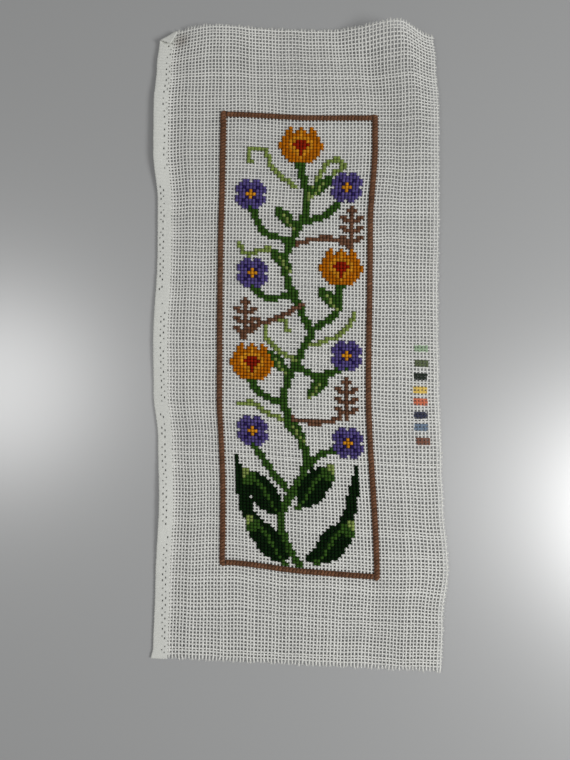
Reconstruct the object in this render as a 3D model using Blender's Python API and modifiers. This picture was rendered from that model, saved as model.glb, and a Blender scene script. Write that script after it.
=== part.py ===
"""A length of needlework canvas lying face up, with a flower panel worked in wool inside a brown border.

Metres, +X to the right of the panel, +Y up the panel, +Z out of its face. The canvas rests on z = 0.
A point of the cloth is named by where it was before the cloth was laid: across from the selvedge, and
up from the bottom cut. lay() says where that point lies now.
"""

import math
from collections import namedtuple

import bmesh
import bpy
from mathutils import Vector

CLOTH_WIDTH = 0.2135
CLOTH_LENGTH = 0.478
SHEET_THICKNESS = 0.0012
SELVEDGE_WIDTH = 0.0105
MESH_COLUMNS = 80
MESH_ROWS = 194
COLUMN_PITCH = (CLOTH_WIDTH - SELVEDGE_WIDTH) / MESH_COLUMNS
ROW_PITCH = CLOTH_LENGTH / MESH_ROWS

# The worked panel, counted in holes of the mesh
BORDER_WIDTH = 2
FIELD_COLUMNS = 42
FIELD_ROWS = 135
FIELD_LEFT = 17
FIELD_BOTTOM = 29

GAP = 0.0003
BORDER_RELIEF = 0.0011
FLOWER_RELIEF = 0.0012
LEAF_RELIEF = 0.0009
BAND_RUN = 4  # holes between two sections of the border band

CANVAS_CELLS_ACROSS = 30
CANVAS_CELLS_UP = 60
CELL_GRADING_ACROSS = 0.25
CELL_GRADING_UP = 0.35

# How the two long edges lie: drawn in from a straight line, and lifted off the table
EdgeSection = namedtuple("EdgeSection", "up drawn_in lift")
SELVEDGE_EDGE = (
    EdgeSection(0.000, 0.0007, 0.0004),
    EdgeSection(0.055, 0.0020, 0.0006),
    EdgeSection(0.115, 0.0044, 0.0022),
    EdgeSection(0.160, 0.0030, 0.0008),
    EdgeSection(0.195, -0.0008, 0.0005),
    EdgeSection(0.235, -0.0013, 0.0014),
    EdgeSection(0.300, 0.0012, 0.0009),
    EdgeSection(0.340, 0.0010, 0.0010),
    EdgeSection(0.378, -0.0023, 0.0036),
    EdgeSection(0.415, -0.0024, 0.0032),
    EdgeSection(0.445, -0.0005, 0.0022),
    EdgeSection(0.478, 0.0023, 0.0018),
)
CUT_EDGE = (
    EdgeSection(0.000, 0.0008, 0.0005),
    EdgeSection(0.038, -0.0006, 0.0010),
    EdgeSection(0.078, -0.0050, 0.0014),
    EdgeSection(0.122, -0.0018, 0.0014),
    EdgeSection(0.154, -0.0010, 0.0008),
    EdgeSection(0.214, 0.0002, 0.0006),
    EdgeSection(0.274, 0.0003, 0.0012),
    EdgeSection(0.344, -0.0009, 0.0024),
    EdgeSection(0.414, -0.0016, 0.0028),
    EdgeSection(0.454, 0.0000, 0.0014),
    EdgeSection(0.478, 0.0018, 0.0008),
)
SELVEDGE_DRAW_REACH = 0.070
CUT_EDGE_DRAW_REACH = 0.045
SELVEDGE_LIFT_REACH = 0.015
CUT_EDGE_LIFT_REACH = 0.016
LEVEL_REACH = 0.000002

# The weft runs downhill to the right, less so towards the top
SlopeSection = namedtuple("SlopeSection", "up fall")
WEFT_SLOPE = (
    SlopeSection(0.000, 0.048),
    SlopeSection(0.066, 0.055),
    SlopeSection(0.240, 0.038),
    SlopeSection(0.410, 0.0195),
    SlopeSection(0.478, 0.018),
)

# The stitching pulls the mesh aside at the two upright bands of the border, and rows up or down there
PullSection = namedtuple("PullSection", "up aside rise")
LEFT_BAND_PULL = (
    PullSection(0.000, 0.0000, 0.0000),
    PullSection(0.070, 0.0001, 0.0036),
    PullSection(0.125, -0.0001, 0.0022),
    PullSection(0.190, -0.0020, 0.0010),
    PullSection(0.300, -0.0022, 0.0006),
    PullSection(0.400, 0.0000, 0.0020),
    PullSection(0.478, 0.0000, 0.0000),
)
RIGHT_BAND_PULL = (
    PullSection(0.000, 0.0000, 0.0000),
    PullSection(0.070, 0.0027, -0.0008),
    PullSection(0.200, -0.0026, 0.0000),
    PullSection(0.325, -0.0004, 0.0000),
    PullSection(0.388, 0.0038, 0.0008),
    PullSection(0.412, 0.0040, 0.0009),
    PullSection(0.478, 0.0000, 0.0000),
)
LEFT_BAND = SELVEDGE_WIDTH + (FIELD_LEFT - BORDER_WIDTH / 2) * COLUMN_PITCH
RIGHT_BAND = LEFT_BAND + (FIELD_COLUMNS + BORDER_WIDTH) * COLUMN_PITCH
RISE_REACH = 0.058
RISE_INSET = 0.005

# The sharp ridge that runs down from the top cut, near its right end
RidgeSection = namedtuple("RidgeSection", "up crest height left_run right_run")
RIDGE = (
    RidgeSection(0.330, 0.2030, 0.0000, 0.022, 0.0105),
    RidgeSection(0.370, 0.2010, 0.0012, 0.023, 0.0125),
    RidgeSection(0.411, 0.1975, 0.0036, 0.026, 0.0160),
    RidgeSection(0.440, 0.1925, 0.0075, 0.036, 0.0240),
    RidgeSection(0.478, 0.1825, 0.0145, 0.053, 0.0360),
)
RIDGE_CREST_ROUND = 0.16
RIDGE_FOOT_ROUND = 0.40
CORNER_SAG = 0.0035
CORNER_SAG_WIDTH = 0.030
CORNER_SAG_LENGTH = 0.070
EAR_SAG = 0.0038
EAR_SAG_WIDTH = 0.034
EAR_SAG_LENGTH = 0.060

# The low hump under the left half of the top cut
HUMP_CENTRE = 0.046
HUMP_HEIGHT = 0.0048
HUMP_LEFT_RUN = 0.044
HUMP_RIGHT_RUN = 0.050
HUMP_LENGTH = 0.060

# The dog-ear: the selvedge corner turned over on to the face
EAR_UP_SELVEDGE = 0.0125
EAR_ALONG_TOP = 0.0195
EAR_FOLD_RADIUS = 0.0015
EAR_TURN = math.radians(170)
EAR_FOLD_STEPS = 6

ROSETTE = """
..PP.PP..
.PPPPPPP.
PPVPPPVPP
PPPVYVPPP
.PPYYYPP.
PPPVYVPPP
PPVPPPVPP
.PPPPPPP.
..PP.PP..
"""
TULIP = """
...O..O..O...
..OO.OYO.OO..
..OOOOYOOOO..
.OOOYYYYYOOO.
.OOYYRRRYYOO.
OOOYRRRRRYOOO
OOOYYRRRYYOOO
.OOOYYRYYOOO.
.OOOOYRYOOOO.
..OOOOYOOOO..
...OOOOOOO...
.....GGG.....
"""
BROAD_LEAF = """
..........DD.
.......DDDDD.
.....DDDDGDD.
....DDDDGDDD.
...DDDDGDDDD.
..DDDDGDDDD..
..DDDGDDDDD..
.DDDDGDDDD...
.DDDGDDDD....
.DDGDDDDD....
.DDGDDDD.....
.DGDDDD......
.GDDD........
GG...........
"""
SMALL_LEAF = """
....GG
..GGGG
.GGLGG
.GLGG.
GGLG..
GLG...
L.....
"""
SPRIG = """
...B...
..BBB..
...B...
BB.B.BB
.BBBBB.
...B...
BB.B.BB
.BBBBB.
...B...
BB.B.BB
.BBBBB.
...B...
...B...
"""

# Lines worked along a smooth curve through points of the field, in holes; a tapered one is a blade
Stroke = namedtuple("Stroke", "kind width taper points")
STROKES = (
    Stroke("stem", 2.2, False, ((21, 0), (16, 14), (24, 32), (18, 50), (26, 70))),
    Stroke("stem", 2.2, False, ((26, 70), (18, 90), (24, 108), (21.5, 121))),
    Stroke("stem", 1.9, False, ((23, 29), (29, 34), (35, 35))),
    Stroke("stem", 1.9, False, ((18.5, 22), (12, 30), (8, 37))),
    Stroke("stem", 1.9, False, ((18, 48), (11, 51), (8, 55))),
    Stroke("stem", 1.9, False, ((21, 60), (28, 57), (36, 60))),
    Stroke("stem", 1.9, False, ((26, 71), (33, 76), (34, 84))),
    Stroke("stem", 1.9, False, ((21, 82), (13, 80), (8, 84))),
    Stroke("stem", 1.9, False, ((20, 98), (12, 100), (8, 108))),
    Stroke("stem", 1.9, False, ((23.5, 104), (30, 106), (35, 112))),
    Stroke("tendril", 1.2, False, ((22, 61), (14, 66), (13, 72), (18, 74), (19, 70))),
    Stroke("tendril", 1.2, False, ((25, 66), (31, 68), (36, 71), (39, 77))),
    Stroke("tendril", 1.2, False, ((24, 110), (29, 121), (33, 123), (34, 120), (31, 119))),
    Stroke("tendril", 1.2, False, ((21, 114), (14, 119), (11, 125), (7, 125), (7, 121))),
    Stroke("tendril", 1.2, False, ((20, 43), (13, 45), (9, 48), (4, 47))),
    Stroke("tendril", 1.2, False, ((19, 92), (13, 95), (7, 93), (4, 97))),
    Stroke("sprig", 1.3, False, ((24, 79), (16, 74), (8, 71), (5.5, 68))),
    Stroke("sprig", 1.3, False, ((21, 97), (30, 99), (37, 97))),
    Stroke("sprig", 1.3, False, ((20, 44), (28, 43), (35, 45))),
    Stroke("stem", 4.0, True, ((17, 3), (7, 14), (3, 32))),
    Stroke("stem", 4.0, True, ((24, 3), (34, 12), (39, 31))),
)

# Charted motifs, each placed by the hole at its lower left
Motif = namedtuple("Motif", "kind chart left bottom mirrored")
MOTIFS = (
    Motif("stem", BROAD_LEAF, 25, 1, False),
    Motif("stem", BROAD_LEAF, 5, 0, True),
    Motif("stem", BROAD_LEAF, 20, 17, False),
    Motif("stem", BROAD_LEAF, 4, 14, True),
    Motif("stem", SMALL_LEAF, 18, 37, True),
    Motif("stem", SMALL_LEAF, 25, 50, False),
    Motif("stem", SMALL_LEAF, 13, 57, True),
    Motif("stem", SMALL_LEAF, 28, 77, True),
    Motif("stem", SMALL_LEAF, 14, 88, True),
    Motif("stem", SMALL_LEAF, 25, 111, False),
    Motif("stem", SMALL_LEAF, 15, 101, True),
    Motif("sprig", SPRIG, 33, 44, False),
    Motif("sprig", SPRIG, 3, 67, False),
    Motif("sprig", SPRIG, 34, 96, False),
    Motif("tulip", TULIP, 15, 121, False),
    Motif("tulip", TULIP, 28, 84, False),
    Motif("tulip", TULIP, 2, 54, False),
    Motif("rosette", ROSETTE, 32, 33, False),
    Motif("rosette", ROSETTE, 4, 35, False),
    Motif("rosette", ROSETTE, 32, 59, False),
    Motif("rosette", ROSETTE, 4, 83, False),
    Motif("rosette", ROSETTE, 31, 110, False),
    Motif("rosette", ROSETTE, 3, 107, False),
)
STROKE_STEPS = 24
LEAST_CELLS = 4

COLOURS = {
    "canvas": (0.62, 0.62, 0.58),
    "border": (0.13, 0.075, 0.055),
    "stem": (0.035, 0.085, 0.03),
    "tendril": (0.26, 0.33, 0.16),
    "sprig": (0.14, 0.08, 0.06),
    "tulip": (0.60, 0.20, 0.03),
    "rosette": (0.13, 0.10, 0.27),
}
RELIEF = {
    "stem": LEAF_RELIEF,
    "tendril": LEAF_RELIEF,
    "sprig": LEAF_RELIEF,
    "tulip": FLOWER_RELIEF,
    "rosette": FLOWER_RELIEF,
}


def smooth(t):
    """0 to 1 with level ends."""
    t = min(1.0, max(0.0, t))
    return t * t * (3.0 - 2.0 * t)


def section_at(sections, up):
    """The table's row for this height, eased between the rows above and below."""
    if up <= sections[0].up:
        return sections[0]
    for low, high in zip(sections, sections[1:]):
        if up <= high.up:
            share = smooth((up - low.up) / (high.up - low.up))
            return type(low)(*(a + (b - a) * share for a, b in zip(low, high)))
    return sections[-1]


def flank(t):
    """Height of a fold from its crest, t = 0, to its foot, t = 1: a straight slope with rounded ends."""
    t = min(1.0, abs(t))
    steepest = 1.0 / (1.0 - (RIDGE_CREST_ROUND + RIDGE_FOOT_ROUND) / 2.0)
    if t < RIDGE_CREST_ROUND:
        return 1.0 - steepest * t * t / (2.0 * RIDGE_CREST_ROUND)
    if t > 1.0 - RIDGE_FOOT_ROUND:
        return steepest * (1.0 - t) ** 2 / (2.0 * RIDGE_FOOT_ROUND)
    return 1.0 - steepest * (t - RIDGE_CREST_ROUND / 2.0)


def ridge_height(across, up):
    ridge = section_at(RIDGE, up)
    aside = across - ridge.crest
    run = ridge.right_run if aside > 0 else ridge.left_run
    return ridge.height * flank(aside / run)


def hump_height(across, up):
    aside = across - HUMP_CENTRE
    run = HUMP_RIGHT_RUN if aside > 0 else HUMP_LEFT_RUN
    across_share = 1.0 - smooth(abs(aside) / run)
    up_share = smooth(1.0 - (CLOTH_LENGTH - up) / HUMP_LENGTH)
    return HUMP_HEIGHT * across_share * up_share


def edge_lift(across, up):
    left = section_at(SELVEDGE_EDGE, up).lift * smooth(1.0 - across / SELVEDGE_LIFT_REACH)
    right = section_at(CUT_EDGE, up).lift * smooth(1.0 - (CLOTH_WIDTH - across) / CUT_EDGE_LIFT_REACH)
    return left + right


def panel_pull(across, up):
    """How far the stitching has pulled a point of the mesh: aside, and up the panel."""
    left = section_at(LEFT_BAND_PULL, up)
    right = section_at(RIGHT_BAND_PULL, up)
    share = min(1.0, max(0.0, (across - LEFT_BAND) / (RIGHT_BAND - LEFT_BAND)))
    aside = left.aside + (right.aside - left.aside) * share
    aside *= smooth(across / LEFT_BAND) * smooth((CLOTH_WIDTH - across) / (CLOTH_WIDTH - RIGHT_BAND))
    rise = left.rise * smooth(1.0 - abs(across - LEFT_BAND - RISE_INSET) / RISE_REACH)
    rise += right.rise * smooth(1.0 - abs(across - RIGHT_BAND) / RISE_REACH)
    return aside, rise


def base_point(across, up):
    """Where a point of the cloth lies, before the dog-ear is turned."""
    aside, rise = panel_pull(across, up)
    x = across + aside
    x += section_at(SELVEDGE_EDGE, up).drawn_in * smooth(1.0 - across / SELVEDGE_DRAW_REACH)
    x -= section_at(CUT_EDGE, up).drawn_in * smooth(1.0 - (CLOTH_WIDTH - across) / CUT_EDGE_DRAW_REACH)
    y = up + rise - section_at(WEFT_SLOPE, up).fall * across
    sag = smooth(1.0 - (CLOTH_WIDTH - across) / CORNER_SAG_WIDTH)
    y -= CORNER_SAG * sag * smooth(1.0 - (CLOTH_LENGTH - up) / CORNER_SAG_LENGTH)
    sag = smooth(1.0 - across / EAR_SAG_WIDTH)
    y -= EAR_SAG * sag * smooth(1.0 - (CLOTH_LENGTH - up) / EAR_SAG_LENGTH)
    z = max(ridge_height(across, up), hump_height(across, up)) + edge_lift(across, up)
    return Vector((x, y, z))


def ear_normal():
    """Across the dog-ear's crease, towards the corner, in the flat cloth."""
    return Vector((-EAR_UP_SELVEDGE, EAR_ALONG_TOP)).normalized()


def past_crease(across, up):
    """How far a point of the flat cloth lies past the dog-ear's crease."""
    start = Vector((0.0, CLOTH_LENGTH - EAR_UP_SELVEDGE))
    return (Vector((across, up)) - start).dot(ear_normal())


def lay(across, up):
    """Where a point of the flat cloth lies now, on the middle of its thickness."""
    past = past_crease(across, up)
    if past <= 0.0:
        return base_point(across, up) + Vector((0.0, 0.0, SHEET_THICKNESS / 2.0))
    bent = min(past, EAR_FOLD_RADIUS * EAR_TURN)
    beyond = past - bent
    turn = bent / EAR_FOLD_RADIUS
    reach = EAR_FOLD_RADIUS * math.sin(turn) + beyond * math.cos(turn)
    rise = EAR_FOLD_RADIUS * (1.0 - math.cos(turn)) + beyond * math.sin(turn)
    foot = Vector((across, up)) + ear_normal() * (reach - past)
    return base_point(foot.x, foot.y) + Vector((0.0, 0.0, SHEET_THICKNESS / 2.0 + rise))


def hole(column, row):
    """A corner of the mesh, counted in holes, as across and up of the flat cloth."""
    return SELVEDGE_WIDTH + column * COLUMN_PITCH, row * ROW_PITCH


def clear_scene():
    for obj in list(bpy.data.objects):
        bpy.data.objects.remove(obj, do_unlink=True)


def make_material(name, colour):
    material = bpy.data.materials.new(name)
    material.use_nodes = True
    shader = material.node_tree.nodes["Principled BSDF"]
    shader.inputs["Base Color"].default_value = (*colour, 1.0)
    shader.inputs["Roughness"].default_value = 0.9
    shader.inputs["Metallic"].default_value = 0.0
    return material


def make_object(name, flat_mesh, material, collection):
    mesh = bpy.data.meshes.new(name)
    flat_mesh.to_mesh(mesh)
    flat_mesh.free()
    mesh.materials.append(material)
    obj = bpy.data.objects.new(name, mesh)
    collection.objects.link(obj)
    return obj


def add_thickness(obj, thickness, offset):
    solidify = obj.modifiers.new("thickness", "SOLIDIFY")
    solidify.thickness = thickness
    solidify.offset = offset
    solidify.use_even_offset = True


def cut_at_ear_fold(flat):
    """Cuts the flat grid along the dog-ear's fold, so that the turn is round."""
    start = Vector((0.0, CLOTH_LENGTH - EAR_UP_SELVEDGE, 0.0))
    across_crease = ear_normal().to_3d()
    for step in range(EAR_FOLD_STEPS + 1):
        past = EAR_FOLD_RADIUS * EAR_TURN * step / EAR_FOLD_STEPS
        bmesh.ops.bisect_plane(
            flat,
            geom=flat.verts[:] + flat.edges[:] + flat.faces[:],
            plane_co=start + across_crease * past,
            plane_no=across_crease,
        )


def level_underside(obj):
    """The even thickness leaves the rim of the flat part a hair off the table: it is set down level."""
    bpy.context.view_layer.update()
    graph = bpy.context.evaluated_depsgraph_get()
    thick = bpy.data.meshes.new_from_object(obj.evaluated_get(graph))
    obj.modifiers.clear()
    obj.data = thick
    lowest = min(vert.co.z for vert in thick.vertices)
    for vert in thick.vertices:
        if vert.co.z < lowest + LEVEL_REACH:
            vert.co.z = lowest


def make_canvas(material, collection):
    flat = bmesh.new()
    bmesh.ops.create_grid(flat, x_segments=CANVAS_CELLS_ACROSS, y_segments=CANVAS_CELLS_UP, size=0.5)
    for vert in flat.verts:
        right = vert.co.x + 0.5
        top = vert.co.y + 0.5
        vert.co.x = CLOTH_WIDTH * right * (1.0 + CELL_GRADING_ACROSS * (1.0 - right))
        vert.co.y = CLOTH_LENGTH * top * (1.0 + CELL_GRADING_UP * (1.0 - top))
    cut_at_ear_fold(flat)
    for vert in flat.verts:
        vert.co = lay(vert.co.x, vert.co.y)
    bmesh.ops.recalc_face_normals(flat, faces=flat.faces[:])
    canvas = make_object("canvas", flat, material, collection)
    add_thickness(canvas, SHEET_THICKNESS, 0.0)
    level_underside(canvas)
    return canvas


def on_curve(before, start, end, after, t):
    """A point from start, t = 0, to end, t = 1, on a smooth curve through four points."""
    straight = end - before
    bend = 2 * before - 5 * start + 4 * end - after
    twist = 3 * start - before - 3 * end + after
    return (2 * start + straight * t + bend * t**2 + twist * t**3) / 2


def smooth_path(points):
    """Points close together on a smooth curve through the given ones."""
    ends = [Vector(point) for point in (points[0], *points, points[-1])]
    path = []
    for four in zip(ends, ends[1:], ends[2:], ends[3:]):
        path.extend(on_curve(*four, step / STROKE_STEPS) for step in range(STROKE_STEPS))
    return path


def stroke_cells(stroke):
    """The holes of the field that a stroke covers; a tapered one is a blade, narrow at both ends."""
    covered = set()
    path = smooth_path(stroke.points)
    for place, (x, y) in enumerate(path):
        width = stroke.width
        if stroke.taper:
            width *= 0.2 + 0.8 * math.sin(math.pi * (0.12 + 0.88 * place / len(path)))
        reach = width / 2.0
        for column in range(math.floor(x - reach), math.ceil(x + reach)):
            for row in range(math.floor(y - reach), math.ceil(y + reach)):
                near = math.hypot(column + 0.5 - x, row + 0.5 - y) <= reach
                if near and 0 <= column < FIELD_COLUMNS and 0 <= row < FIELD_ROWS:
                    covered.add((column, row))
    return covered


def chart_cells(motif):
    lines = motif.chart.split()
    covered = set()
    for row, line in enumerate(reversed(lines)):
        marks = line[::-1] if motif.mirrored else line
        for column, mark in enumerate(marks):
            if mark != ".":
                covered.add((motif.left + column, motif.bottom + row))
    return covered


def close_corners(worked):
    """Fills a third hole where two of one kind meet only at a corner, so that they hold together."""
    changed = True
    while changed:
        changed = False
        for (column, row), kind in list(worked.items()):
            for side in (-1, 1):
                beside, above, corner = (column + side, row), (column, row + 1), (column + side, row + 1)
                if worked.get(corner) != kind or kind in (worked.get(beside), worked.get(above)):
                    continue
                free = [cell for cell in (above, beside) if cell not in worked]
                if free:
                    worked[free[0]] = kind
                    changed = True


def chart_panel():
    """The kind of stitching in each worked hole of the field."""
    worked = {}
    for stroke in STROKES:
        worked.update(dict.fromkeys(stroke_cells(stroke), stroke.kind))
    for motif in MOTIFS:
        worked.update(dict.fromkeys(chart_cells(motif), motif.kind))
    close_corners(worked)
    return worked


def joined_groups(worked, kind):
    """The holes of one kind, in groups that touch side to side, from the bottom of the panel up."""
    left = {cell for cell, its_kind in worked.items() if its_kind == kind}
    groups = []
    while left:
        waiting = [min(left, key=lambda cell: (cell[1], cell[0]))]
        left.remove(waiting[0])
        group = []
        while waiting:
            column, row = waiting.pop()
            group.append((column, row))
            beside = {(column + 1, row), (column - 1, row), (column, row + 1), (column, row - 1)} & left
            left -= beside
            waiting.extend(beside)
        if len(group) >= LEAST_CELLS:
            groups.append(group)
    return groups


def make_stitching(name, patches, relief, merge, material, collection):
    """Raised stitching over patches of the mesh, each (left, bottom, right, top) in holes."""
    flat = bmesh.new()
    corners = {}

    def corner(column, row):
        if (column, row) not in corners:
            corners[column, row] = flat.verts.new((*hole(column, row), 0.0))
        return corners[column, row]

    for left, bottom, right, top in patches:
        flat.faces.new((corner(left, bottom), corner(right, bottom), corner(right, top), corner(left, top)))
    flat.normal_update()
    rim = bmesh.ops.inset_region(
        flat, faces=flat.faces[:], thickness=GAP / 2.0, use_boundary=True, use_even_offset=True
    )
    bmesh.ops.delete(flat, geom=rim["faces"], context="FACES")
    if merge:
        bmesh.ops.dissolve_limit(flat, angle_limit=math.radians(1), verts=flat.verts[:], edges=flat.edges[:])
    for vert in flat.verts:
        vert.co = lay(vert.co.x, vert.co.y) + Vector((0.0, 0.0, SHEET_THICKNESS / 2.0 + GAP))
    stitching = make_object(name, flat, material, collection)
    add_thickness(stitching, relief, 1.0)
    return stitching


def border_patches():
    """The border's ring, in patches that let it follow the cloth."""
    left, right = FIELD_LEFT, FIELD_LEFT + FIELD_COLUMNS
    bottom, top = FIELD_BOTTOM, FIELD_BOTTOM + FIELD_ROWS
    columns = [left - BORDER_WIDTH, *range(left, right, BAND_RUN), right, right + BORDER_WIDTH]
    rows = [bottom - BORDER_WIDTH, *range(bottom, top, BAND_RUN), top, top + BORDER_WIDTH]
    patches = []
    for west, east in zip(columns, columns[1:]):
        for south, north in zip(rows, rows[1:]):
            if not (left <= west < right and bottom <= south < top):
                patches.append((west, south, east, north))
    return patches


def field_patch(cell):
    left, bottom = FIELD_LEFT + cell[0], FIELD_BOTTOM + cell[1]
    return left, bottom, left + 1, bottom + 1


def rest_on_origin(objects):
    """Moves the whole so that its box stands on z = 0, centred on the origin."""
    bpy.context.view_layer.update()
    graph = bpy.context.evaluated_depsgraph_get()
    points = []
    for obj in objects:
        shape = obj.evaluated_get(graph).to_mesh()
        points.extend(vert.co.copy() for vert in shape.vertices)
    low = Vector(map(min, zip(*points)))
    high = Vector(map(max, zip(*points)))
    middle = (low + high) / 2.0
    for obj in objects:
        for vert in obj.data.vertices:
            vert.co -= Vector((middle.x, middle.y, low.z))


def main():
    clear_scene()
    collection = bpy.data.collections.new("worked_canvas")
    bpy.context.scene.collection.children.link(collection)
    materials = {kind: make_material(kind, colour) for kind, colour in COLOURS.items()}

    objects = [make_canvas(materials["canvas"], collection)]
    objects.append(
        make_stitching(
            "border_stitching", border_patches(), BORDER_RELIEF, False, materials["border"], collection
        )
    )
    worked = chart_panel()
    for kind, relief in RELIEF.items():
        for number, group in enumerate(joined_groups(worked, kind), 1):
            patches = [field_patch(cell) for cell in group]
            name = f"{kind}_stitching_{number}"
            objects.append(make_stitching(name, patches, relief, True, materials[kind], collection))
    rest_on_origin(objects)


main()
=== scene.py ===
# Looks for a cut length of needlework canvas that lies face up on a table, with a vine of flowers
# worked in wool inside a brown border. Metres; +X across, +Y up the panel, +Z out of its face.
import math

import bpy
import numpy as np
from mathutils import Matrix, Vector


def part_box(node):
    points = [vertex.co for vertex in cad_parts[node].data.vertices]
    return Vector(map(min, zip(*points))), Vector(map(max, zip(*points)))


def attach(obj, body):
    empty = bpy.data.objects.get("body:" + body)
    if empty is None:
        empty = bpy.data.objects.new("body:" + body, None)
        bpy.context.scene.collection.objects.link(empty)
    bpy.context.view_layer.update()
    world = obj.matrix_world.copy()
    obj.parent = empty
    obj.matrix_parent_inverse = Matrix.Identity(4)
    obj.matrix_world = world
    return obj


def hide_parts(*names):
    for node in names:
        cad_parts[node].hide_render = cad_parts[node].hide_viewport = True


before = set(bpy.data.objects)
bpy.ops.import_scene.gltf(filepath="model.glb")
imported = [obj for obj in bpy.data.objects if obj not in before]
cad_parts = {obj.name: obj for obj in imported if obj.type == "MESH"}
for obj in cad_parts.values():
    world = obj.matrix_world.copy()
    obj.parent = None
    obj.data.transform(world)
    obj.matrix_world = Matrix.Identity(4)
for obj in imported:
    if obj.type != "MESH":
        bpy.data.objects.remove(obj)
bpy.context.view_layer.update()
draw = np.random.default_rng(41)
tableTop = 0.00002  # no thread lies lower
print("packed part loaded")

# The cloth, in the sizes of the part's source. A point of it is named by where it was before it was
# laid: across from the selvedge, and up from the bottom cut
cloth = {
    "width": 0.2135,
    "length": 0.478,
    "thickness": 0.0012,
    "selvedge": 0.0105,
    "columns": 80,
    "rows": 194,
}
columnPitch = (cloth["width"] - cloth["selvedge"]) / cloth["columns"]
rowPitch = cloth["length"] / cloth["rows"]


# Uneven drifts are sums of crossing waves: how many, and from what to what share of the size their length is
noise = {"waves": 7, "shortest": 0.6, "longest": 1.7}


def newWaves(count):
    # heading, length as a share of the size, and phase of each wave
    least, most = (0.0, noise["shortest"], 0.0), (2 * math.pi, noise["longest"], 2 * math.pi)
    return draw.uniform(least, most, (count, 3))


def waveDrift(across, up, size, waves):
    # an uneven drift of about -1 to 1 over the cloth, from a few crossing waves
    total = np.zeros_like(across)
    for heading, share, phase in waves:
        place = across * math.cos(heading) + up * math.sin(heading)
        total += np.sin(2 * math.pi * place / (size * share) + phase)
    return total / math.sqrt(len(waves))


def softNoise(across, up, size):
    return waveDrift(across, up, size, newWaves(noise["waves"]))


def fromHoles(column, row):
    # across and up of a hole of the mesh
    return cloth["selvedge"] + column * columnPitch, row * rowPitch


# How the two long edges lie: up, drawn in from a straight line, lift off the table
edges = {
    "selvedgeRows": np.array([
        (0, 0.0007, 0.0004), (0.055, 0.002, 0.0006), (0.115, 0.0044, 0.0022), (0.16, 0.003, 0.0008),
        (0.195, -0.0008, 0.0005), (0.235, -0.0013, 0.0014), (0.3, 0.0012, 0.0009), (0.34, 0.001, 0.001),
        (0.378, -0.0023, 0.0036), (0.415, -0.0024, 0.0032), (0.445, -0.0005, 0.0022),
        (0.478, 0.0023, 0.0018),
    ]),
    "cutRows": np.array([
        (0, 0.0008, 0.0005), (0.038, -0.0006, 0.001), (0.078, -0.005, 0.0014),
        (0.122, -0.0018, 0.0014), (0.154, -0.001, 0.0008), (0.214, 0.0002, 0.0006),
        (0.274, 0.0003, 0.0012), (0.344, -0.0009, 0.0024), (0.414, -0.0016, 0.0028),
        (0.454, 0, 0.0014), (0.478, 0.0018, 0.0008),
    ]),
    "selvedgeDraw": 0.07,
    "cutDraw": 0.045,
    "selvedgeLift": 0.015,
    "cutLift": 0.016,
}
# The weft runs downhill to the right: up, fall
weftSlope = np.array([(0, 0.048), (0.066, 0.055), (0.24, 0.038), (0.41, 0.0195), (0.478, 0.018)])
# The worked panel, in holes of the mesh
panel = {"left": 17, "bottom": 29, "columns": 42, "rows": 135, "border": 2, "clear": 0.0003}
panelRight, panelTop = panel["left"] + panel["columns"], panel["bottom"] + panel["rows"]
# The stitching pulls the mesh aside at the two upright bands of the border, and rows up or down there
pull = {
    # up, aside, rise
    "left": np.array([
        (0, 0, 0), (0.07, 0.0001, 0.0036), (0.125, -0.0001, 0.0022), (0.19, -0.002, 0.001),
        (0.3, -0.0022, 0.0006), (0.4, 0, 0.002), (0.478, 0, 0),
    ]),
    "right": np.array([
        (0, 0, 0), (0.07, 0.0027, -0.0008), (0.2, -0.0026, 0), (0.325, -0.0004, 0),
        (0.388, 0.0038, 0.0008), (0.412, 0.004, 0.0009), (0.478, 0, 0),
    ]),
    "leftBand": fromHoles(panel["left"] - panel["border"] / 2, 0)[0],
    "rightBand": fromHoles(panelRight + panel["border"] / 2, 0)[0],
    "riseReach": 0.058,
    "riseInset": 0.005,
}
# The ridge near the right end of the top cut: up, crest, height, left run, right run
ridge = {
    "rows": np.array([
        (0.33, 0.203, 0, 0.022, 0.0105), (0.37, 0.201, 0.0012, 0.023, 0.0125),
        (0.411, 0.1975, 0.0036, 0.026, 0.016), (0.44, 0.1925, 0.0075, 0.036, 0.024),
        (0.478, 0.1825, 0.0145, 0.053, 0.036),
    ]),
    "crestRound": 0.16,
    "footRound": 0.4,
    "cornerSag": 0.0035,
    "sagWidth": 0.03,
    "sagLength": 0.07,
}
# The top cut falls off toward the turned corner
earSag = {"fall": 0.0038, "width": 0.034, "length": 0.06}
# The starched mesh isn't pressed flat: between its edges it stands about a millimetre off the table,
# and a little more where the yarn on its back holds it up
loft = {
    "height": 0.0013,
    "moreAtRight": 0.0008,
    "underPanel": 0.0005,
    "uneven": 0.00035,
    "size": 0.075,
    "atEdge": 0.6,
    "edgeReach": 0.016,
    "waves": newWaves(6),
}
# A low hump beside the turned corner
hump = {"centre": 0.046, "height": 0.0048, "leftRun": 0.044, "rightRun": 0.05, "length": 0.06}
# The corner at the selvedge that is turned over on to the face
ear = {"upSelvedge": 0.0125, "alongTop": 0.0195, "foldRadius": 0.0015, "turn": math.radians(170)}
earLong = math.hypot(ear["upSelvedge"], ear["alongTop"])
earAcross = -ear["upSelvedge"] / earLong
earUp = ear["alongTop"] / earLong


def ease(t):
    t = np.clip(t, 0.0, 1.0)
    return t * t * (3.0 - 2.0 * t)


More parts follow.
